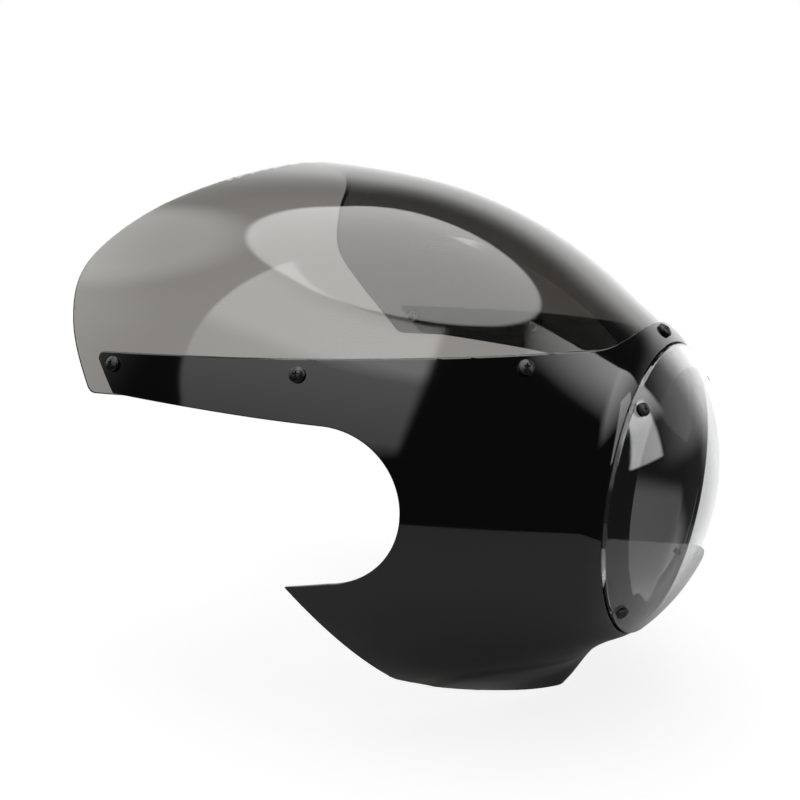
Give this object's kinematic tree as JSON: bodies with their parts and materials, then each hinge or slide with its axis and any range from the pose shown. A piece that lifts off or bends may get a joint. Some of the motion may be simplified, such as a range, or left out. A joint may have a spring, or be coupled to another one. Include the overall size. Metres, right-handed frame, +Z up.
{
  "type": "headlight cowl",
  "caption": "Bullet-shaped motorbike headlight cowl with a smoked bubble windscreen, a clear domed lens cover and a round cut-out on each side for the forks.",
  "frame": {"origin": "middle of the round headlight opening, on the axis of the lamp", "axes": "+X forward through the lamp and lens cover, +Y to the rider's left, +Z up"},
  "size_m": [0.3831, 0.3716, 0.3364],
  "materials": {
    "body_black": "gloss black",
    "smoked_screen": "smoked clear",
    "clear_lens": "clear",
    "screw_black": "black oxide",
    "nut_steel": "bright zinc"
  },
  "bodies": {
    "root": {"cowl_body": "body_black", "windscreen": "smoked_screen", "lens_cover": "clear_lens", "windscreen_screws": "screw_black", "windscreen_nuts": "nut_steel", "lens_screws": "screw_black"}
  },
  "joints": []
}
